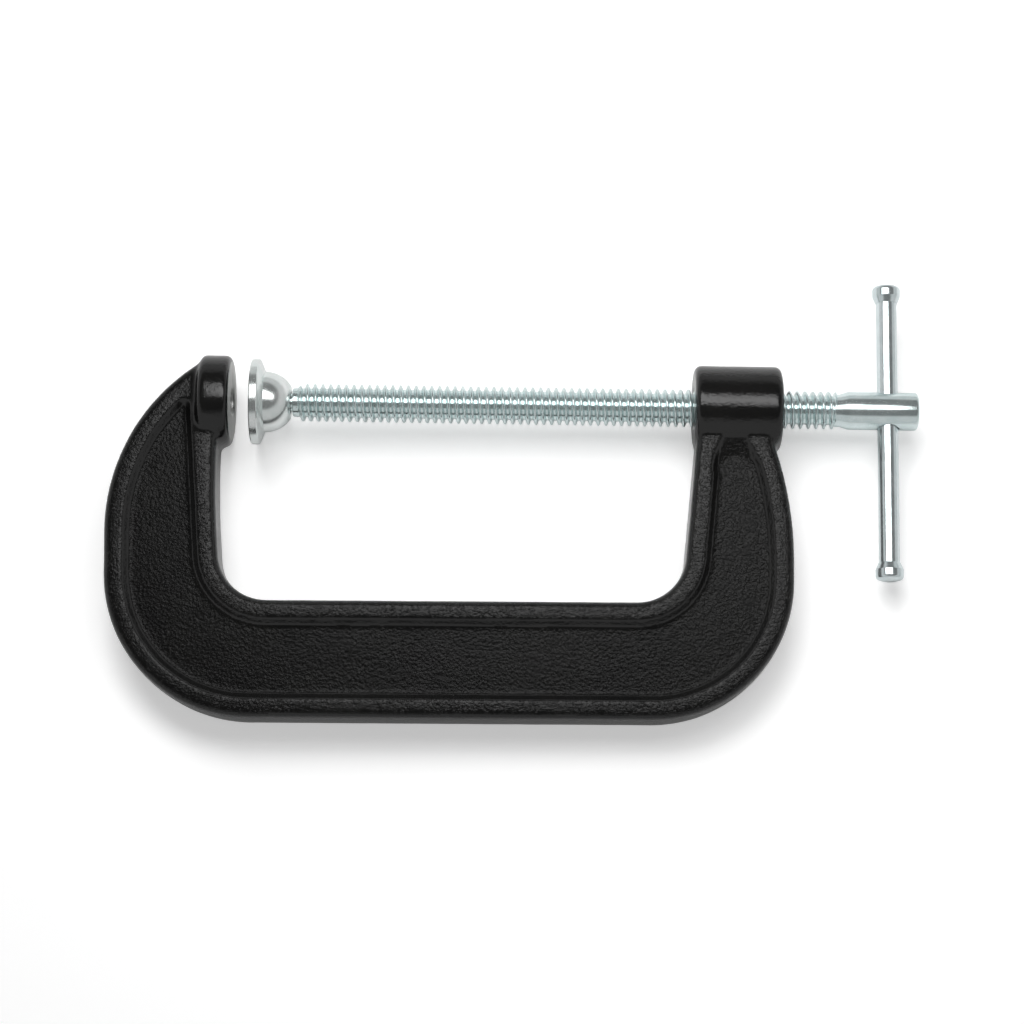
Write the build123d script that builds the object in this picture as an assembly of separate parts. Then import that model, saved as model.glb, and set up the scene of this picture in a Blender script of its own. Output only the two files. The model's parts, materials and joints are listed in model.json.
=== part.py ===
from build123d import *
from math import asin, cos, degrees, radians, sin, sqrt, tan
import os

# A cast G-clamp with a screw spindle, a swivel pad and a sliding tommy bar, in millimetres.
# The origin is the centre of the anvil's ground face, on the screw's axis. +X runs along the
# screw towards the bar, +Y from the rail towards the screw, and +Z out of the plane of the
# clamp, which lies on its side. The parting plane of the casting is z = 0.

# Jaw and casting
jaw_length = 178.2          # ground anvil face to the inner end of the nut boss
throat_depth = 77.7         # screw axis to the inner edge of the rail, at mid length
rail_height = 45.2
rail_toe = 0.5              # degrees between the rail and the screw, taken up when the frame springs open
left_arm_width = 43.6       # at its widest, across the arm behind the anvil
right_arm_width = 41.5      # at its widest, across the arm below the nut boss
arm_lean = 5.0              # degrees that the inner edges of both arms spread towards the screw
anvil_proud = 4.2           # anvil face in front of the left arm's inner edge
nut_boss_proud = 0.4        # nut boss in front of the right arm's inner edge
inner_corner_radius = 18.5
inner_bend_depth = 37.0     # below the screw axis, where the left arm's inner edge turns upright
inner_bend_radius = 300.0
heel_lean = 2.0             # degrees, outer side of the left arm below its widest point
heel_depth = 61.7           # below the screw axis, where the heel line starts
heel_radius = 56.0
crown_radius = 76.0         # outer curve from the anvil boss down to the heel line
crown_slope = 36.5          # degrees from the screw axis, where the crown reaches the anvil boss
crown_drop = 4.2            # crown below the top of the anvil boss, where they meet
toe_corner_radius = 54.0
shoulder_depth = 59.8       # below the screw axis, where the right arm's outer edge starts to curve inwards
shoulder_radius = 137.0

# Drills
drill_point = 118.0         # degrees

# Section of the casting
flange_width = 22.0         # across the plane of the clamp
flange_thickness = 7.2      # seen in the plane of the clamp
flange_draft = 1.5          # degrees, each side of the parting plane
flange_edge_radius = 3.2
pocket_depth = 3.0          # from the flange down to the web, on each side
pocket_slope = 42.0         # degrees from upright
pocket_arch_radius = 7.6    # at its top, under the nut boss
pocket_tip_radius = 0.26    # at the tip of its floor, behind the anvil boss
pocket_boss_margin = 1.2    # flat left between a boss and the pocket's mouth

# Anvil boss
anvil_boss_diameter = 35.4
anvil_boss_length = 12.0
anvil_face_diameter = 31.0  # ground bare, inside the painted rim
anvil_back_radius = 2.5
anvil_hole_diameter = 10.7  # left by the drill that passes through the nut boss
anvil_hole_depth = 6.0

# Nut boss
nut_boss_diameter = 33.0
nut_boss_length = 33.6
nut_boss_edge_radius = 2.6
nut_bore_chamfer = 0.8
boss_overlap = 1.2          # that the bow runs on inside a boss
boss_root_radius = 3.0      # cast fillet where a boss stands on the flanges

# Screw spindle
thread_diameter = 14.7
thread_clearance = 0.1      # radial, between the spindle's crests and the nut bore
thread_tail = 20.8          # thread left behind the nut boss, as the clamp lies
thread_lead_in = 1.8        # length of the cone before the first full crest
collar_diameter = 11.1      # plain end of the screw, as thick as the thread's root
collar_length = 1.6
neck_diameter = 7.0         # groove that the pad's lip closes round
neck_split = 0.05           # between the ball and the turning neck
ball_diameter = 10.8
relief_diameter = 12.6
relief_length = 1.9
head_diameter = 14.7
head_length = 30.0
head_shoulder_length = 3.2
head_edge_radius = 1.1
cross_hole_setback = 11.35  # centre of the cross hole from the spindle's end
cross_hole_chamfer = 0.5

# Swivel pad
pad_diameter = 33.0
pad_gap = 7.8               # anvil face to pad face, as the clamp lies
pad_rim = 3.3
pad_rim_chamfer = 0.4
pad_cone = 1.8              # depth of the sloping back, from the rim to the dome's centre
socket_floor = 2.5          # between the pad's face and the point of its drilled socket
socket_clearance = 0.2      # radial, round the ball
lip_clearance = 0.9         # radial, round the neck, room for the pad to tilt
lip_height = 2.4            # of the lip's straight inner edge
lip_slope = 45.0            # degrees from the screw axis, where the lip is rolled over the ball
lip_width = 2.0
lip_gap = 0.9               # from the lip to the spindle's collar, room for the pad to tilt

# Tommy bar
bar_diameter = 8.0
bar_hole_clearance = 0.4    # radial
bar_length = 116.8
bar_offset = -8.2           # centre of the bar from the screw axis, as the clamp lies
bar_head_diameter = 10.8
bar_head_length = 7.2
bar_head_step = 0.25        # radial, where the upset head starts
bar_head_cone = 2.6
bar_head_edge = 1.6
bar_end_flat = 2.2          # radius of the end's middle, before its dome
bar_end_drop = 0.9          # from the end's middle to its rim
bar_end_radius = 6.0

# Rounding
corner_share = 0.96         # share of an edge that the fillets at its two ends may take up

# Sizes and places that follow from those above
socket_radius = ball_diameter / 2 + socket_clearance
socket_tip = socket_radius / sin(radians(drill_point / 2))
lip_opening_radius = neck_diameter / 2 + lip_clearance
lip_cos = cos(radians(lip_slope))
lip_sin = sin(radians(lip_slope))
ball_place = pad_gap + socket_floor + socket_tip
neck_start = ball_place + sqrt((ball_diameter / 2) ** 2 - (neck_diameter / 2) ** 2)
lip_roll_start = ball_place + socket_radius * (1 - lip_cos) / lip_sin
lip_roll_end = ball_place + (socket_radius - lip_opening_radius * lip_cos) / lip_sin
lip_place = lip_roll_end + lip_height
collar_place = lip_place + lip_gap
thread_start = collar_place + collar_length
nut_end = jaw_length + nut_boss_length
thread_end = nut_end + thread_tail
head_start = thread_end + relief_length
spindle_end = head_start + head_length
cross_hole_place = spindle_end - cross_hole_setback


def meet(point_a, angle_a, point_b, angle_b):
    """Where two lines cross in the plane of the clamp. Angles are in degrees from +X."""
    ax, ay = cos(radians(angle_a)), sin(radians(angle_a))
    bx, by = cos(radians(angle_b)), sin(radians(angle_b))
    dx, dy = point_b[0] - point_a[0], point_b[1] - point_a[1]
    along = (dx * by - dy * bx) / (ax * by - ay * bx)
    return point_a[0] + along * ax, point_a[1] + along * ay


def fitted(corners):
    """The corners of an outline, with radii that would overlap cut down to what their edge can hold."""
    points = [Vector(point) for point, _ in corners]
    edges = [points[i] - points[i - 1] for i in range(len(points))]
    edges.append(edges[0])
    runs = [
        radius * tan(radians(edges[i].get_angle(edges[i + 1]) / 2))
        for i, (_, radius) in enumerate(corners)
    ]
    wanted = [runs[i - 1] + runs[i] for i in range(len(points))]
    shares = [
        min(1, corner_share * edge.length / run) if run else 1
        for edge, run in zip(edges, wanted)
    ]
    shares.append(shares[0])
    return [
        (point, radius * min(shares[i], shares[i + 1]))
        for i, (point, radius) in enumerate(corners)
    ]


def rounded_face(corners):
    """A flat face from a closed list of (point, radius). A radius of 0 leaves a sharp corner."""
    face = make_face(Polyline(*[point for point, _ in corners], close=True))
    for point, radius in fitted(corners):
        if radius:
            corner = face.vertices().sort_by_distance((point[0], point[1], 0))[0]
            face = fillet(corner, radius)
    return face


def turned(corners):
    """A solid turned about the screw's axis from its half outline."""
    return revolve(rounded_face(corners), Axis.X)


def casting_outline(upright_inner=True):
    """The bow on the parting plane. Its left inner edge turns upright at the bend, or runs straight on."""
    middle = jaw_length / 2
    rail_inner = (middle, -throat_depth)
    rail_outer = (middle, -throat_depth - rail_height)
    bend = (-anvil_proud, -inner_bend_depth)
    right_notch = (jaw_length + nut_boss_proud, -nut_boss_diameter / 2)
    heel_spread = (heel_depth - inner_bend_depth) * tan(radians(arm_lean))
    heel_top = (-anvil_proud + heel_spread - left_arm_width, -heel_depth)
    right_outer = meet(right_notch, 90 - arm_lean, (0, -heel_depth), 0)[0] + right_arm_width
    shoulder_lean = degrees(asin(shoulder_depth / shoulder_radius))
    shoulder_tangent = shoulder_radius * tan(radians(shoulder_lean / 2))
    shoulder = (right_outer, shoulder_tangent - shoulder_depth)
    inside_nut = (0, flange_edge_radius + boss_overlap)
    crown_end = (-anvil_boss_length, anvil_boss_diameter / 2 - crown_drop)
    top = (0, crown_end[1] + boss_overlap)

    corners = [
        (meet(crown_end, crown_slope, top, 0), 0),
        (meet(crown_end, crown_slope, heel_top, 90 + heel_lean), crown_radius),
        (meet(heel_top, 90 + heel_lean, rail_outer, rail_toe), heel_radius),
        (meet(rail_outer, rail_toe, shoulder, 90), toe_corner_radius),
        (shoulder, shoulder_radius),
        (meet(shoulder, 90 + shoulder_lean, inside_nut, 0), 0),
        (meet(right_notch, 90 - arm_lean, inside_nut, 0), 0),
        (meet(rail_inner, rail_toe, right_notch, 90 - arm_lean), inner_corner_radius),
        (meet(bend, 90 + arm_lean, rail_inner, rail_toe), inner_corner_radius),
    ]
    if upright_inner:
        corners += [(bend, inner_bend_radius), ((bend[0], top[1]), 0)]
    else:
        corners += [(meet(bend, 90 + arm_lean, top, 0), 0)]
    return rounded_face(corners)


def pocket_outline():
    """The mouth of the pocket in each side of the casting, a flange's thickness inside the bow."""
    mouth_tip_radius = pocket_tip_radius + pocket_depth * tan(radians(pocket_slope))
    core = offset(casting_outline(upright_inner=False), amount=-flange_thickness - mouth_tip_radius)
    pocket = offset(core, amount=mouth_tip_radius)
    under_nut = -nut_boss_diameter / 2 - pocket_boss_margin
    reach = jaw_length
    pocket -= Pos(reach / 2, under_nut) * Rectangle(reach, reach, align=(Align.MIN, Align.MIN))
    arch = pocket.vertices().filter_by(lambda vertex: vertex.X > reach).sort_by(Axis.Y)[-2:]
    half_width = abs(arch[0].X - arch[1].X) / 2
    return fillet(arch, min(pocket_arch_radius, half_width))


def nut_boss():
    """The barrel at the top of the right arm, before its bore."""
    radius = nut_boss_diameter / 2
    return turned([
        ((jaw_length, 0), 0),
        ((jaw_length, radius), nut_boss_edge_radius),
        ((nut_end, radius), nut_boss_edge_radius),
        ((nut_end, 0), 0),
    ])


def nut_bore():
    """What the tap takes out of the nut boss, with a chamfer at each end."""
    radius = thread_diameter / 2 + thread_clearance
    mouth = radius + nut_bore_chamfer
    return turned([
        ((jaw_length, 0), 0),
        ((jaw_length, mouth), 0),
        ((jaw_length + nut_bore_chamfer, radius), 0),
        ((nut_end - nut_bore_chamfer, radius), 0),
        ((nut_end, mouth), 0),
        ((nut_end, 0), 0),
    ])


def anvil_boss():
    """The short barrel at the top of the left arm, with its painted rim rounded up to the bare face."""
    radius = anvil_boss_diameter / 2
    return turned([
        ((-anvil_boss_length, 0), 0),
        ((-anvil_boss_length, radius), anvil_back_radius),
        ((0, radius), radius - anvil_face_diameter / 2),
        ((0, 0), 0),
    ])


def anvil_hole():
    """The blind hole that the nut's drill leaves in the anvil's face."""
    radius = anvil_hole_diameter / 2
    point = radius / tan(radians(drill_point / 2))
    return turned([
        ((0, 0), 0),
        ((0, radius), 0),
        ((-anvil_hole_depth, radius), 0),
        ((-anvil_hole_depth - point, 0), 0),
    ])


def bow():
    """The solid bow between the bosses, with drafted sides and rounded flange edges."""
    solid = extrude(casting_outline(), amount=flange_width / 2, both=True, taper=flange_draft)
    sides = solid.faces().filter_by(Plane.XY)
    return fillet(sides.edges(), flange_edge_radius)


def clamp_frame():
    """The casting: a bow with a boss at each end of the jaw and a pocket in each side."""
    bare_bow = bow()
    frame = bare_bow + nut_boss() + anvil_boss()
    roots = new_edges(bare_bow, nut_boss(), anvil_boss(), combined=frame)
    frame = fillet(roots, boss_root_radius)

    mouth = Pos(0, 0, flange_width / 2) * pocket_outline()
    pocket = extrude(mouth, amount=-pocket_depth, taper=pocket_slope)
    frame -= pocket
    frame -= mirror(pocket, Plane.XY)
    return frame - nut_bore() - anvil_hole()


def spindle_ball():
    """The ball at the screw's tip, cut flat where the turning neck begins."""
    ball = Pos(ball_place, 0, 0) * Sphere(ball_diameter / 2)
    return split(ball, bisect_by=Plane.YZ.offset(neck_start), keep=Keep.BOTTOM)


def spindle():
    """The screw from its neck to its head, plain at the crests' diameter where it is threaded."""
    neck = neck_diameter / 2
    collar = collar_diameter / 2
    crest = thread_diameter / 2
    relief = relief_diameter / 2
    head = head_diameter / 2
    screw = turned([
        ((neck_start + neck_split, 0), 0),
        ((neck_start + neck_split, neck), 0),
        ((collar_place, neck), 0),
        ((collar_place, collar), 0),
        ((thread_start, collar), 0),
        ((thread_start + thread_lead_in, crest), 0),
        ((thread_end, crest), 0),
        ((thread_end, relief), 0),
        ((head_start, relief), 0),
        ((head_start + head_shoulder_length, head), 0),
        ((spindle_end, head), head_edge_radius),
        ((spindle_end, 0), 0),
    ])
    hole = Cylinder(bar_diameter / 2 + bar_hole_clearance, 2 * head_diameter)
    drilled = screw - Pos(cross_hole_place, 0, 0) * Rot(90, 0, 0) * hole
    return chamfer(new_edges(screw, combined=drilled), cross_hole_chamfer)


def swivel_pad():
    """The pad: a rimmed disc with a domed back, bored for the ball and rolled over it."""
    rim = pad_diameter / 2
    back = pad_gap + pad_rim
    dome_place = back + pad_cone
    lip_radius = lip_opening_radius + lip_width
    dome_radius = sqrt((lip_place - dome_place) ** 2 + lip_radius ** 2)

    disc = Polygon(
        (pad_gap, 0),
        (dome_place, 0),
        (dome_place, dome_radius),
        (back, rim - pad_rim_chamfer),
        (back - pad_rim_chamfer, rim),
        (pad_gap + pad_rim_chamfer, rim),
        (pad_gap, rim - pad_rim_chamfer),
        align=None,
    )
    dome = Pos(dome_place, 0) * Circle(dome_radius)
    dome &= Pos(back, 0) * Rectangle(lip_place - back, dome_radius, align=Align.MIN)
    drill_shoulder = ball_place - socket_tip + socket_radius / tan(radians(drill_point / 2))
    socket = Polygon(
        (ball_place - socket_tip, 0),
        (lip_place, 0),
        (lip_place, lip_opening_radius),
        (lip_roll_end, lip_opening_radius),
        (lip_roll_start, socket_radius),
        (drill_shoulder, socket_radius),
        align=None,
    )
    return revolve(disc + dome - socket, Axis.X)


def tommy_bar():
    """The bar that slides in the spindle's head, with an upset head at each end."""
    end = bar_length / 2
    rod = bar_diameter / 2
    head = bar_head_diameter / 2
    start = end - bar_head_length
    half_outline = [
        ((start, rod), 0),
        ((start, rod + bar_head_step), 0),
        ((start + bar_head_cone, head), 0),
        ((end - bar_end_drop, head), bar_head_edge),
        ((end, bar_end_flat), bar_end_radius),
    ]
    mirrored = [((-x, y), radius) for (x, y), radius in reversed(half_outline)]
    bar = turned([((-end, 0), 0), *mirrored, *half_outline, ((end, 0), 0)])
    return Pos(cross_hole_place, bar_offset, 0) * Rot(0, 0, 90) * bar


pieces = {
    "clamp_frame": clamp_frame(),
    "spindle_ball": spindle_ball(),
    "spindle": spindle(),
    "swivel_pad": swivel_pad(),
    "tommy_bar": tommy_bar(),
}

os.makedirs("parts", exist_ok=True)
for name, solid in pieces.items():
    export_step(solid, f"parts/{name}.step")
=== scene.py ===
import json
import math

import bpy
from mathutils import Matrix, Vector

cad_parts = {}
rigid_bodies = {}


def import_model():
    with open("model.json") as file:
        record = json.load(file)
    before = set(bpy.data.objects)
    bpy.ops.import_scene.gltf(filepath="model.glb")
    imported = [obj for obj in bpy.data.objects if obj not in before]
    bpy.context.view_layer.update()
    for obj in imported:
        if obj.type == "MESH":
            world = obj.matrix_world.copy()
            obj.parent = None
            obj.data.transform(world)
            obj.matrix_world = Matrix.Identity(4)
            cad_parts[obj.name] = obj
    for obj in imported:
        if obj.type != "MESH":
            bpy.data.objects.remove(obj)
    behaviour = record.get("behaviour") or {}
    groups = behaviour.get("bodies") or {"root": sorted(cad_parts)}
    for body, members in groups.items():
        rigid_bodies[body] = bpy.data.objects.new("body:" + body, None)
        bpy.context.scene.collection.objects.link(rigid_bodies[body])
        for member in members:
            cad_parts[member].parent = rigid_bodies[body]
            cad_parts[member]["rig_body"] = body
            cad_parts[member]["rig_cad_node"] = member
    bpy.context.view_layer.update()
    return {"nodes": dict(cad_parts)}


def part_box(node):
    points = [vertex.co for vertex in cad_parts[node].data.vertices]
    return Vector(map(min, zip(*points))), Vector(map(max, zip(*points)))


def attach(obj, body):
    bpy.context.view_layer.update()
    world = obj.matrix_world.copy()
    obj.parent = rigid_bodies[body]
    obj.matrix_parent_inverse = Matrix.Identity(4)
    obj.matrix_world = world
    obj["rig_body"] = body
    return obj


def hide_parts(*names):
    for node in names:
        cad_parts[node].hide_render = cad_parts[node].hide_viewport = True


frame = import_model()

mm = 0.001


# The casting. Grey iron poured in green sand: a bow with an I-section, an anvil boss and a nut
# boss. It is fettled, dipped in black enamel, and only the anvil's face is ground bare.
anvil_face_radius = 15.5 * mm
anvil_length, anvil_boss_radius = 12.0 * mm, 17.7 * mm
nut_start, nut_radius = 178.2 * mm, 16.5 * mm
flange_top, web_top = 11.0 * mm, 8.0 * mm


def deselect():
    """Leaves edit mode and selects nothing."""
    if bpy.context.object and bpy.context.object.mode == "EDIT":
        bpy.ops.object.mode_set(mode="OBJECT")
    bpy.ops.object.select_all(action="DESELECT")


def take(piece):
    """Makes a piece the selected and active one."""
    deselect()
    piece.select_set(True)
    bpy.context.view_layer.objects.active = piece


def settle(piece):
    """Puts a piece's place into its mesh and leaves its object at the origin."""
    take(piece)
    bpy.ops.object.transform_apply(location=True, rotation=True, scale=True)


def apply(piece, modifier):
    """Makes a modifier's result the piece's own mesh."""
    take(piece)
    bpy.ops.object.modifier_apply(modifier=modifier.name)


def copy_of_node(node, name):
    """A new piece from a CAD node's mesh, its loose triangles welded."""
    take(frame["nodes"][node])
    bpy.ops.object.duplicate()
    piece = bpy.context.object
    piece.name = name
    piece.parent = None
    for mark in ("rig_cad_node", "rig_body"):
        del piece[mark]
    bpy.ops.object.mode_set(mode="EDIT")
    bpy.ops.mesh.select_all(action="SELECT")
    bpy.ops.mesh.remove_doubles(threshold=0.002 * mm)
    bpy.ops.object.mode_set(mode="OBJECT")
    return piece


def node(tree, kind, **inputs):
    """A shader node with its settings and socket values set by name."""
    made = tree.nodes.new(kind)
    for name, value in inputs.items():
        socket = name.replace("_", " ").title()
        if socket in made.inputs:
            made.inputs[socket].default_value = value
        else:
            setattr(made, name, value)
    return made


def new_material(name):
    """A material with a Principled shader, and its object coordinates."""
    material = bpy.data.materials.new(name)
    material.use_nodes = True
    tree = material.node_tree
    shader = tree.nodes["Principled BSDF"]
    place = tree.nodes.new("ShaderNodeTexCoord")
    return material, tree, shader, place


def black_enamel(name, pebble_size, pebble_height, hollow_roughness, ior):
    """Gloss enamel dipped over sand-rough iron. It stands bright on the pebbles and dull between."""
    material, tree, shader, place = new_material(name)
    link = tree.links.new
    pebbles = node(tree, "ShaderNodeTexNoise", scale=1 / pebble_size, detail=2.0, roughness=0.5)
    sand = node(tree, "ShaderNodeTexNoise", scale=2.6 / pebble_size, detail=2.0, roughness=0.6)
    patches = node(tree, "ShaderNodeTexNoise", scale=45.0, detail=3.0, roughness=0.6)
    patch_share, sand_share, crown_share, crown_roughness = 0.25, 0.35, 0.25, 0.15
    split = tree.nodes.new("ShaderNodeSeparateXYZ")
    for texture in (pebbles, sand, patches, split):
        link(place.outputs["Object"], texture.inputs["Vector"])

    # Fewer pebbles stand out at the anvil's end of the casting than at the nut's.
    run = node(tree, "ShaderNodeMapRange", from_min=-0.02, from_max=0.2, to_min=-0.09, to_max=0.0)
    link(split.outputs["X"], run.inputs["Value"])
    thinned = node(tree, "ShaderNodeMath", operation="MULTIPLY_ADD")
    thinned.inputs[1].default_value = patch_share
    link(patches.outputs["Fac"], thinned.inputs[0])
    link(run.outputs["Result"], thinned.inputs[2])
    raised = node(tree, "ShaderNodeMath", operation="ADD")
    link(pebbles.outputs["Fac"], raised.inputs[0])
    link(thinned.outputs[0], raised.inputs[1])
    crowns = node(tree, "ShaderNodeMapRange", from_min=0.58, from_max=0.76)
    crowns.interpolation_type = "SMOOTHSTEP"
    link(raised.outputs[0], crowns.inputs["Value"])

    ripples = node(tree, "ShaderNodeMath", operation="MULTIPLY_ADD")
    ripples.inputs[1].default_value = sand_share
    heights = node(tree, "ShaderNodeMath", operation="MULTIPLY_ADD")
    heights.inputs[1].default_value = crown_share
    bump = node(tree, "ShaderNodeBump", strength=1.0, distance=pebble_height)
    link(sand.outputs["Fac"], ripples.inputs[0])
    link(pebbles.outputs["Fac"], ripples.inputs[2])
    link(crowns.outputs["Result"], heights.inputs[0])
    link(ripples.outputs[0], heights.inputs[2])
    link(heights.outputs[0], bump.inputs["Height"])
    link(bump.outputs["Normal"], shader.inputs["Normal"])

    tone = node(tree, "ShaderNodeValToRGB")
    tone.color_ramp.elements[0].position = 0.35
    tone.color_ramp.elements[0].color = (0.0035, 0.0035, 0.0035, 1)
    tone.color_ramp.elements[1].position = 0.7
    tone.color_ramp.elements[1].color = (0.0065, 0.0064, 0.0060, 1)
    link(patches.outputs["Fac"], tone.inputs["Fac"])
    link(tone.outputs["Color"], shader.inputs["Base Color"])

    gloss = node(tree, "ShaderNodeMapRange", to_min=hollow_roughness, to_max=crown_roughness)
    link(crowns.outputs["Result"], gloss.inputs["Value"])
    link(gloss.outputs["Result"], shader.inputs["Roughness"])
    # A low IOR dims the reflection. The web's and flanges' copies use it as painted shade.
    shader.inputs["IOR"].default_value = ior
    return material


def bare_iron():
    """The anvil's face as the grinder leaves it: concentric marks on grey iron."""
    material, tree, shader, place = new_material("ground iron")
    link = tree.links.new
    rings = node(tree, "ShaderNodeTexWave", wave_type="RINGS", scale=900.0, distortion=0.6)
    rings.rings_direction = "X"
    mottle = node(tree, "ShaderNodeTexNoise", scale=260.0, detail=4.0)
    for texture in (rings, mottle):
        link(place.outputs["Object"], texture.inputs["Vector"])
    bump = node(tree, "ShaderNodeBump", strength=0.3, distance=0.02 * mm)
    link(rings.outputs["Fac"], bump.inputs["Height"])
    link(bump.outputs["Normal"], shader.inputs["Normal"])
    tone = node(tree, "ShaderNodeValToRGB")
    tone.color_ramp.elements[0].color = (0.33, 0.33, 0.32, 1)
    tone.color_ramp.elements[1].color = (0.56, 0.56, 0.55, 1)
    link(mottle.outputs["Fac"], tone.inputs["Fac"])
    link(tone.outputs["Color"], shader.inputs["Base Color"])
    shader.inputs["Metallic"].default_value = 1.0
    shader.inputs["Roughness"].default_value = 0.38
    return material


def coat(piece, *materials):
    """Gives a piece new materials in place of those it has."""
    piece.data.materials.clear()
    for material in materials:
        piece.data.materials.append(material)


def displace(piece, size, strength, group):
    """Roughens a piece along its normals by a cloudy pattern."""
    pattern = bpy.data.textures.new(f"clouds {size}", "CLOUDS")
    pattern.noise_scale = size
    modifier = piece.modifiers.new("roughen", "DISPLACE")
    modifier.texture = pattern
    modifier.texture_coords = "LOCAL"
    modifier.strength = strength
    modifier.mid_level = 0.5
    modifier.vertex_group = group
    apply(piece, modifier)


nut_middle = 193.4 * mm
channel_reach, channel_low, channel_high = 10 * mm, -27 * mm, -11.5 * mm
channel_end, channel_half_width, channel_flare, channel_curve = 13.7 * mm, 5.0 * mm, 0.62, 24
arch_centre, arch_radius, arch_slope, wall_slope = 26.5 * mm, 6.3 * mm, 0.28, 0.9


def under_nut(x, y):
    """Whether a point lies where the pocket runs out against the nut boss."""
    return abs(x - nut_middle) < channel_reach and channel_low < y < channel_high


def pocket_head(x, y):
    """Height of the casting there: a shallow channel that narrows towards the boss."""
    run = -y - channel_end
    arch = math.hypot(x - nut_middle, max(0, y + arch_centre)) - arch_radius
    floor = web_top + arch_slope * max(0, arch)
    half_width = channel_half_width + channel_flare * run - channel_curve * run ** 2
    wall = wall_slope * (flange_top - floor)
    side = max(0, abs(x - nut_middle) - half_width + wall)
    barrel = math.sqrt(max(0, nut_radius ** 2 - y ** 2))
    return max(floor + side / wall_slope, barrel)


def on_a_boss(x, y, z):
    """Whether a point lies on the nut's or the anvil's barrel."""
    radius = math.hypot(y, z)
    return (x > nut_start - mm and radius < nut_radius + 0.5 * mm) or (
        -anvil_length - mm < x and x < nut_start / 2 and radius < anvil_boss_radius + 0.5 * mm
    )


casting_grid, triangle_limit = 0.6 * mm, 190000
machined_bore, socket_depth, socket_radius = 8.3 * mm, 8 * mm, 5.35 * mm
casting = copy_of_node("clamp_frame", "casting")
remesh = casting.modifiers.new("remesh", "REMESH")
remesh.mode = "VOXEL"
remesh.voxel_size = casting_grid
apply(casting, remesh)
for vertex in casting.data.vertices:
    x, y, z = vertex.co
    if under_nut(x, y) and abs(z) > web_top - mm:
        vertex.co.z = math.copysign(min(abs(z), pocket_head(x, y)), z)
cast_edges = casting.vertex_groups.new(name="cast edges")
for vertex in casting.data.vertices:
    x, y, z = vertex.co
    radius = math.hypot(y, z)
    anvil_end = -socket_depth < x < mm and radius < anvil_face_radius + 0.5 * mm
    bore_end = x > nut_start - mm and radius < machined_bore + mm
    cast_edges.add([vertex.index], 0.0 if anvil_end or bore_end else 1.0, "REPLACE")
relax = casting.modifiers.new("relax", "SMOOTH")
relax.factor = 0.5
relax.iterations = 8
relax.vertex_group = "cast edges"
apply(casting, relax)

rough_faces = casting.vertex_groups.new(name="rough faces")
smooth_walls = casting.vertex_groups.new(name="smooth walls")
for vertex in casting.data.vertices:
    x, y, z = vertex.co
    radius = math.hypot(y, z)
    ground = -0.25 * mm < x < mm and radius < anvil_face_radius
    drilled = -socket_depth < x < 0 and radius < socket_radius + 0.85 * mm
    bored = x > nut_start - mm and radius < machined_bore
    if ground and radius > socket_radius + 0.25 * mm:
        vertex.co.x = 0
    machined = ground or drilled or bored
    flat = abs(vertex.normal.z) > 0.9 and not on_a_boss(x, y, z)
    rough_faces.add([vertex.index], 1.0 if flat and not machined else 0.0, "REPLACE")
    smooth_walls.add([vertex.index], 0.0 if flat or machined else 1.0, "REPLACE")
displace(casting, 9 * mm, 0.12 * mm, "rough faces")
displace(casting, 2.2 * mm, 0.05 * mm, "rough faces")
displace(casting, 7 * mm, 0.12 * mm, "smooth walls")

thin = casting.modifiers.new("thin", "DECIMATE")
thin.ratio = triangle_limit / sum(len(face.vertices) - 2 for face in casting.data.polygons)
apply(casting, thin)

on_walls, on_machined, on_the_web, on_flanges = range(4)
# The web's and flanges' copies reflect less than the walls' copy through a lower IOR, the recessed web
# least: painted shade on the flat faces.
coat(
    casting,
    black_enamel("enamel on the walls", 1.2 * mm, 0.05 * mm, 0.17, 1.5),
    bare_iron(),
    black_enamel("enamel on the web, dimmed as painted shade", 1.1 * mm, 0.22 * mm, 0.22, 1.27),
    black_enamel("enamel on the flanges, dimmed as painted shade", 0.95 * mm, 0.2 * mm, 0.18, 1.38),
)
for face in casting.data.polygons:
    x, y, z = face.center
    radius = math.hypot(y, z)
    ground = -0.12 * mm < x < mm and radius < anvil_face_radius
    drilled = -socket_depth < x < 0 and radius < socket_radius + 0.55 * mm
    bored = x > nut_start - mm and radius < machined_bore and abs(face.normal.x) < 0.9
    flat = abs(face.normal.z) > 0.85 and not on_a_boss(x, y, z)
    if ground or drilled or bored:
        face.material_index = on_machined
    elif not flat:
        face.material_index = on_walls
    elif abs(z) < (flange_top + web_top) / 2:
        face.material_index = on_the_web
    else:
        face.material_index = on_flanges
    face.use_smooth = True
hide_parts("clamp_frame")
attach(casting, "frame")


# The spindle. A steel screw with a rolled right-hand thread, an upset head with a cross hole,
# and a neck behind its ball. Bright zinc plate covers all of it.
pitch = 3.0 * mm
crest_radius, root_radius = 7.35 * mm, 5.55 * mm
neck_radius, collar_length = 3.5 * mm, 1.6 * mm
relief_radius, relief_length = 6.3 * mm, 1.9 * mm
head_radius, head_length, shoulder_length = 7.35 * mm, 30.0 * mm, 3.2 * mm
cross_hole_radius, cross_hole_setback, cross_hole_chamfer = 4.4 * mm, 11.35 * mm, 0.5 * mm
cutter_depth, cutter_length = 0.7 * mm, 1.2 * mm
thread_phase = 0.37 * mm
passivated, turned_marks, turned_gloss = (0.77, 0.86, 0.865), (2600, 60, 60), (0.13, 0.21)
spindle_low, spindle_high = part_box("spindle")
spindle_start, spindle_end = spindle_low.x, spindle_high.x


def arc(centre_x, centre_r, radius, start, end, steps):
    """Points of an outline round a centre, from one angle to another, in degrees from +X."""
    angles = [math.radians(start + (end - start) * i / steps) for i in range(steps + 1)]
    return [(centre_x + radius * math.cos(a), centre_r + radius * math.sin(a)) for a in angles]


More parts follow.
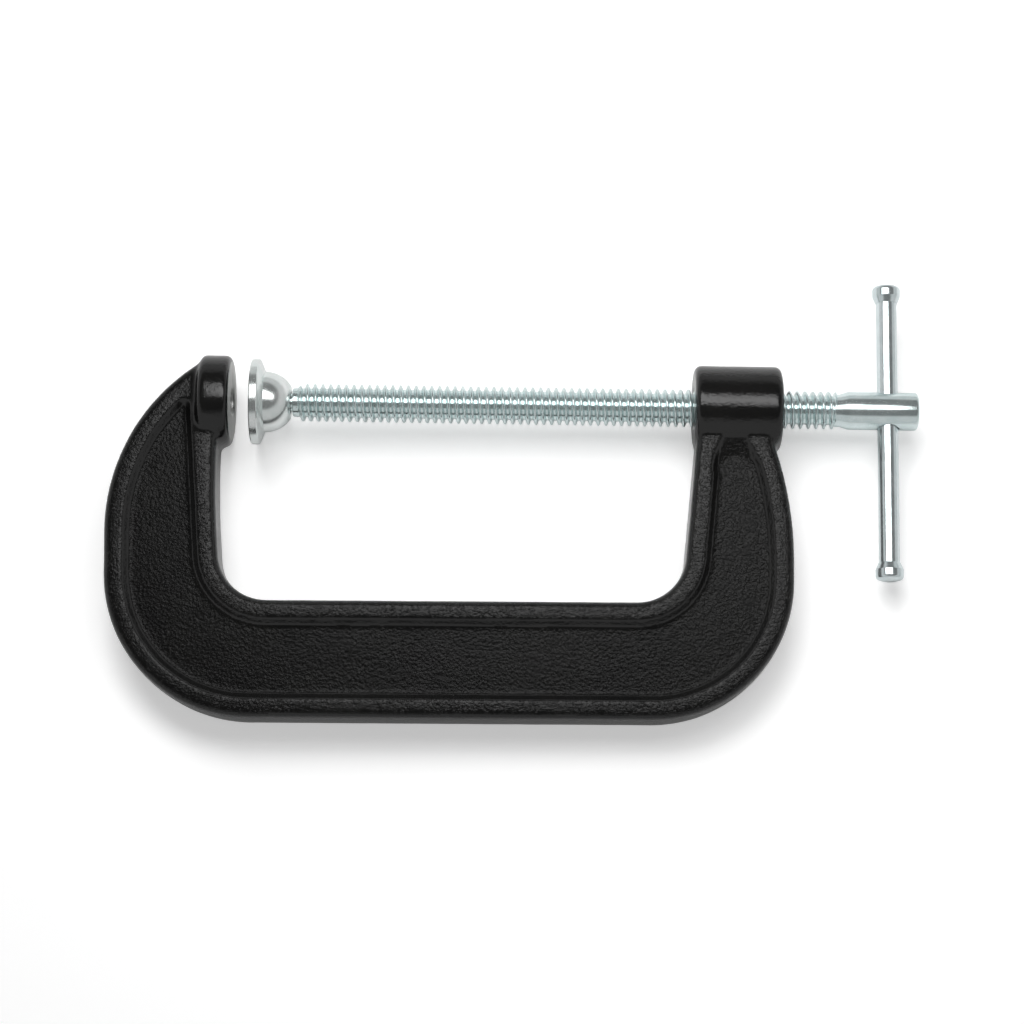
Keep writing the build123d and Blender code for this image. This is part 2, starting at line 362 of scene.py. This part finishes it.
def turn(name, outline, segments):
    """Lathe work about the X axis: a disc drawn out ring by ring along a half outline."""
    deselect()
    x, radius = outline[0]
    bpy.ops.mesh.primitive_circle_add(
        vertices=segments, radius=radius, fill_type="NGON",
        location=(x, 0, 0), rotation=(0, math.pi / 2, 0),
    )
    piece = bpy.context.object
    piece.name = name
    settle(piece)
    bpy.ops.object.mode_set(mode="EDIT")
    bpy.ops.mesh.select_all(action="SELECT")
    for next_x, next_radius in outline[1:]:
        growth = next_radius / radius
        bpy.ops.mesh.extrude_region_move(TRANSFORM_OT_translate={"value": (next_x - x, 0, 0)})
        bpy.ops.transform.resize(value=(1, growth, growth), center_override=(next_x, 0, 0))
        x, radius = next_x, next_radius
    bpy.ops.mesh.select_all(action="SELECT")
    bpy.ops.mesh.normals_make_consistent(inside=False)
    bpy.ops.object.mode_set(mode="OBJECT")
    return piece


def combine(piece, other, operation):
    """A boolean of two closed pieces that keeps the first."""
    boolean = piece.modifiers.new("combine", "BOOLEAN")
    boolean.operation = operation
    boolean.solver = "EXACT"
    boolean.object = other
    apply(piece, boolean)
    bpy.data.objects.remove(other)


def smooth(piece, degrees):
    """Shades a piece smooth, apart from edges sharper than an angle."""
    take(piece)
    bpy.ops.object.shade_smooth_by_angle(angle=math.radians(degrees))


def thread(name, start, end, profile, segments):
    """A helix of one profile, given as (share of the pitch, radius), cut square at both ends."""
    turns = math.ceil((end - start) / pitch) + 3
    deselect()
    bpy.ops.mesh.primitive_circle_add(vertices=len(profile) + 1, fill_type="NOTHING")
    piece = bpy.context.object
    piece.name = name
    first = start - 2 * pitch + thread_phase
    points = profile + [(profile[0][0] + 1, profile[0][1])]
    for vertex, (share, radius) in zip(piece.data.vertices, points):
        vertex.co = (first + share * pitch, 0, radius)
    bpy.ops.object.mode_set(mode="EDIT")
    bpy.ops.mesh.select_all(action="DESELECT")
    bpy.ops.object.mode_set(mode="OBJECT")
    ends = {0, len(points) - 1}
    closing = [edge for edge in piece.data.edges if set(edge.vertices) == ends]
    closing[0].select = True
    bpy.ops.object.mode_set(mode="EDIT")
    bpy.ops.mesh.select_mode(type="EDGE")
    bpy.ops.mesh.delete(type="EDGE")
    bpy.ops.object.mode_set(mode="OBJECT")
    helix = piece.modifiers.new("helix", "SCREW")
    helix.axis = "X"
    helix.angle = 2 * math.pi
    helix.screw_offset = pitch
    helix.iterations = turns
    helix.steps = segments
    helix.render_steps = segments
    apply(piece, helix)
    bpy.ops.object.mode_set(mode="EDIT")
    bpy.ops.mesh.select_mode(type="VERT")
    bpy.ops.mesh.select_all(action="SELECT")
    bpy.ops.mesh.remove_doubles(threshold=0.001 * mm)
    for plane, side in ((start, False), (end, True)):
        bpy.ops.mesh.select_all(action="SELECT")
        bpy.ops.mesh.bisect(
            plane_co=(plane, 0, 0), plane_no=(1, 0, 0), use_fill=True,
            clear_inner=not side, clear_outer=side,
        )
    bpy.ops.mesh.select_all(action="SELECT")
    bpy.ops.mesh.normals_make_consistent(inside=False)
    bpy.ops.object.mode_set(mode="OBJECT")
    return piece


def zinc_plate(name, along, tint, gloss_range):
    """Bright zinc over machined steel. Its fine marks run round or along the piece's own axis."""
    material, tree, shader, place = new_material(name)
    link = tree.links.new
    stretch = node(tree, "ShaderNodeMapping")
    stretch.inputs["Scale"].default_value = along
    marks = node(tree, "ShaderNodeTexNoise", scale=1.0, detail=4.0, roughness=0.6)
    cloud = node(tree, "ShaderNodeTexNoise", scale=170.0, detail=3.0, roughness=0.6)
    grain = node(tree, "ShaderNodeTexNoise", scale=1500.0, detail=2.0)
    link(place.outputs["Object"], stretch.inputs["Vector"])
    link(stretch.outputs["Vector"], marks.inputs["Vector"])
    link(place.outputs["Object"], cloud.inputs["Vector"])
    link(place.outputs["Object"], grain.inputs["Vector"])

    heights = node(tree, "ShaderNodeMath", operation="MULTIPLY_ADD")
    heights.inputs[1].default_value = 0.5
    link(grain.outputs["Fac"], heights.inputs[0])
    link(marks.outputs["Fac"], heights.inputs[2])
    bump = node(tree, "ShaderNodeBump", strength=0.45, distance=0.03 * mm)
    link(heights.outputs[0], bump.inputs["Height"])
    link(bump.outputs["Normal"], shader.inputs["Normal"])

    tone = node(tree, "ShaderNodeValToRGB")
    tone.color_ramp.elements[0].position = 0.3
    tone.color_ramp.elements[0].color = (tint[0] * 0.86, tint[1] * 0.9, tint[2] * 0.89, 1)
    tone.color_ramp.elements[1].position = 0.7
    tone.color_ramp.elements[1].color = (*tint, 1)
    link(cloud.outputs["Fac"], tone.inputs["Fac"])
    link(tone.outputs["Color"], shader.inputs["Base Color"])
    gloss = node(tree, "ShaderNodeMapRange", from_min=0.3, from_max=0.7)
    gloss.inputs["To Min"].default_value, gloss.inputs["To Max"].default_value = gloss_range
    link(cloud.outputs["Fac"], gloss.inputs["Value"])
    link(gloss.outputs["Result"], shader.inputs["Roughness"])
    shader.inputs["Metallic"].default_value = 0.86
    return material


head_start = spindle_end - head_length
thread_end = head_start - relief_length
neck_length = 2.66 * mm
collar_start = spindle_start + neck_length
thread_start = collar_start + collar_length
lead_in = 1.8 * mm
run_out = 1.2 * mm
overlap = 0.4 * mm

flank = [(0.0, 0.0), (0.12, 0.0), (0.17, 0.10), (0.22, 0.32), (0.28, 0.61), (0.34, 0.84), (0.42, 0.97)]
thread_depth = crest_radius - root_radius
thread_profile = [(share, root_radius + rise * thread_depth) for share, rise in flank]
thread_profile.append((0.5, crest_radius))
thread_profile += [(1 - share, root_radius + rise * thread_depth) for share, rise in reversed(flank[1:])]
screw_thread = thread("spindle_thread", thread_start - overlap, thread_end + overlap, thread_profile, 64)
for vertex in screw_thread.data.vertices:
    x, y, z = vertex.co
    radius = math.hypot(y, z)
    if radius > 0.5 * root_radius:
        cone = root_radius + max(0, x - thread_start) / lead_in * thread_depth
        fade = root_radius + max(0, x - thread_end + run_out) / run_out * (relief_radius - root_radius)
        wanted = max(min(radius, cone), min(fade, relief_radius))
        vertex.co.y *= wanted / radius
        vertex.co.z *= wanted / radius

nose = turn("nose", [
    (spindle_start, neck_radius),
    (collar_start, neck_radius),
    (collar_start, root_radius - 0.3 * mm),
    (collar_start + 0.3 * mm, root_radius),
    (thread_start, root_radius),
    (thread_start + overlap, root_radius - overlap),
], 64)
head = turn("head", [
    (thread_end - overlap, relief_radius - 2 * overlap),
    (thread_end, relief_radius - overlap),
    (thread_end + overlap, relief_radius),
    (head_start, relief_radius),
    (head_start + shoulder_length, head_radius),
] + arc(spindle_end - 1.1 * mm, head_radius - 1.1 * mm, 1.1 * mm, 90, 0, 5), 96)

deselect()
bpy.ops.mesh.primitive_cylinder_add(
    vertices=64, radius=cross_hole_radius, depth=4 * head_radius,
    location=(spindle_end - cross_hole_setback, 0, 0), rotation=(math.pi / 2, 0, 0),
)
drill = bpy.context.object
settle(drill)
combine(head, drill, "DIFFERENCE")
# The hole's mouths are chamfered by a cutter with a right-angled point, one from each side.
for side in (-1, 1):
    cutter_tip = cross_hole_radius + cross_hole_chamfer - cutter_depth
    cutter_middle = head_radius - cutter_depth + cutter_length / 2
    bpy.ops.mesh.primitive_cone_add(
        vertices=64, radius1=cutter_tip, radius2=cutter_tip + cutter_length, depth=cutter_length,
        location=(spindle_end - cross_hole_setback, side * cutter_middle, 0),
        rotation=(-side * math.pi / 2, 0, 0),
    )
    countersink = bpy.context.object
    settle(countersink)
    combine(head, countersink, "DIFFERENCE")
combine(head, nose, "UNION")
combine(head, screw_thread, "UNION")
spindle = head
spindle.name = "screw_spindle"
smooth(spindle, 35)
coat(spindle, zinc_plate("zinc on the spindle", turned_marks, passivated, turned_gloss))
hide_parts("spindle")
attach(spindle, "screw")


# The ball at the spindle's tip, turned from the same bar. It shows only through the gap of the
# pad's lip, and slides with the screw.
coat(
    frame["nodes"]["spindle_ball"],
    zinc_plate("zinc on the ball", turned_marks, passivated, turned_gloss),
)


# The swivel pad. A turned steel disc with a domed back, its lip rolled over the ball. It is
# plated like the screw, a little whiter and less glossy.
pad_tint, pad_gloss = (0.82, 0.845, 0.84), (0.17, 0.24)
coat(
    frame["nodes"]["swivel_pad"],
    zinc_plate("zinc on the pad", turned_marks, pad_tint, pad_gloss),
)


# The tommy bar. Drawn round steel, put through the head and upset at both ends, then plated
# with the rest. It slides freely.
drawn_marks, bar_tint, bar_gloss = (600, 25, 600), (0.77, 0.83, 0.85), (0.14, 0.22)
coat(
    frame["nodes"]["tommy_bar"],
    zinc_plate("zinc on the bar", drawn_marks, bar_tint, bar_gloss),
)


# The table that the clamp lies on. It touches the two bosses and the rail's lower flange, so
# it stands a little askew to the clamp.
rail_edge_depth, boss_spacing = 121.0 * mm, 202 * mm
paper_glow, glow_in_reflections = 0.38, 0.1
roll = math.asin((anvil_boss_radius - flange_top) / rail_edge_depth)
lean = math.asin((anvil_boss_radius - nut_radius) / boss_spacing)
deselect()
bpy.ops.mesh.primitive_plane_add(size=8.0)
table = bpy.context.object
table.name = "table"
table.rotation_euler = (-roll, -lean, 0)
table.location = (0, -anvil_boss_radius * math.sin(roll), -anvil_boss_radius / math.cos(roll))
settle(table)
paper, paper_tree, paper_shader, _ = new_material("white paper")
paper_shader.inputs["Base Color"].default_value = (0.85, 0.85, 0.85, 1)
paper_shader.inputs["Roughness"].default_value = 0.9
paper_shader.inputs["Specular IOR Level"].default_value = 0.0
rays = paper_tree.nodes.new("ShaderNodeLightPath")
seen = node(paper_tree, "ShaderNodeMath", operation="MULTIPLY_ADD")
seen.inputs[1].default_value = glow_in_reflections
glow = node(paper_tree, "ShaderNodeMath", operation="MULTIPLY")
glow.inputs[1].default_value = paper_glow
paper_tree.links.new(rays.outputs["Is Glossy Ray"], seen.inputs[0])
paper_tree.links.new(rays.outputs["Is Camera Ray"], seen.inputs[2])
paper_tree.links.new(seen.outputs[0], glow.inputs[0])
paper_tree.links.new(glow.outputs[0], paper_shader.inputs["Emission Strength"])
paper_shader.inputs["Emission Color"].default_value = (1, 1, 1, 1)
table.data.materials.append(paper)


# The studio. A soft box above the screw, a far side light for the shadows under the clamp, a dim
# ceiling, and white walls that stand round the table.
def soft_box(name, centre, aim, size, power):
    """A rectangular light that looks at a point and stays out of the camera's view."""
    lamp = bpy.data.lights.new(name, "AREA")
    lamp.shape = "RECTANGLE"
    lamp.size, lamp.size_y = size
    lamp.energy = power
    box = bpy.data.objects.new(name, lamp)
    bpy.context.scene.collection.objects.link(box)
    box.location = centre
    box.rotation_euler = (Vector(aim) - Vector(centre)).to_track_quat("-Z", "Y").to_euler()
    box.visible_camera = False
    return box


wall_top, ceiling_edge, studio_lean = 0.53, 0.64, math.radians(12.5)
soft_box("overhead box", (0.18, 0.109, 0.473), (0.383, 0.109, 0.129), (0.218, 0.552), 1.4)
side_light = soft_box("side light", (-0.19, 1.32, 1.7), (0.11, -0.04, 0.0), (1.0, 1.0), 22.0)
side_light.visible_glossy = False

world = bpy.data.worlds.new("studio")
bpy.context.scene.world = world
world.use_nodes = True
sky = world.node_tree
sky.nodes.clear()
direction = sky.nodes.new("ShaderNodeTexCoord")
height = node(sky, "ShaderNodeVectorMath", operation="DOT_PRODUCT")
height.inputs[1].default_value = (0, math.sin(studio_lean), math.cos(studio_lean))
walls = node(sky, "ShaderNodeMapRange", from_min=wall_top, from_max=ceiling_edge, to_min=0.7, to_max=0.12)
sky_rays = sky.nodes.new("ShaderNodeLightPath")
room = node(sky, "ShaderNodeBackground")
white = node(sky, "ShaderNodeBackground", strength=1.0)
white.inputs["Color"].default_value = (1, 1, 1, 1)
choose = sky.nodes.new("ShaderNodeMixShader")
output = sky.nodes.new("ShaderNodeOutputWorld")
sky.links.new(direction.outputs["Generated"], height.inputs[0])
sky.links.new(height.outputs["Value"], walls.inputs["Value"])
sky.links.new(walls.outputs["Result"], room.inputs["Strength"])
sky.links.new(sky_rays.outputs["Is Camera Ray"], choose.inputs["Fac"])
sky.links.new(room.outputs["Background"], choose.inputs[1])
sky.links.new(white.outputs["Background"], choose.inputs[2])
sky.links.new(choose.outputs["Shader"], output.inputs["Surface"])


# The camera, almost straight above and a little in front of the rail, with the screw turned
# slightly clockwise in the picture.
camera_distance = 950 * mm
camera_elevation = math.radians(79.0)
screw_slope = math.radians(0.9)
aim = Vector((108.8, -41.8, 0)) * mm
right = Vector((math.cos(screw_slope), math.sin(screw_slope), 0))
away = Vector((-right.y, right.x, 0))
towards_camera = Vector((0, 0, math.sin(camera_elevation))) - away * math.cos(camera_elevation)
up = towards_camera.cross(right)
lens = bpy.data.cameras.new("camera")
lens.lens = 87.2
lens.sensor_width = 36.0
camera = bpy.data.objects.new("camera", lens)
bpy.context.scene.collection.objects.link(camera)
place = aim + towards_camera * camera_distance
camera.matrix_world = Matrix((
    (right.x, up.x, towards_camera.x, place.x),
    (right.y, up.y, towards_camera.y, place.y),
    (right.z, up.z, towards_camera.z, place.z),
    (0, 0, 0, 1),
))
bpy.context.scene.camera = camera
bpy.context.scene.view_settings.view_transform = "Standard"
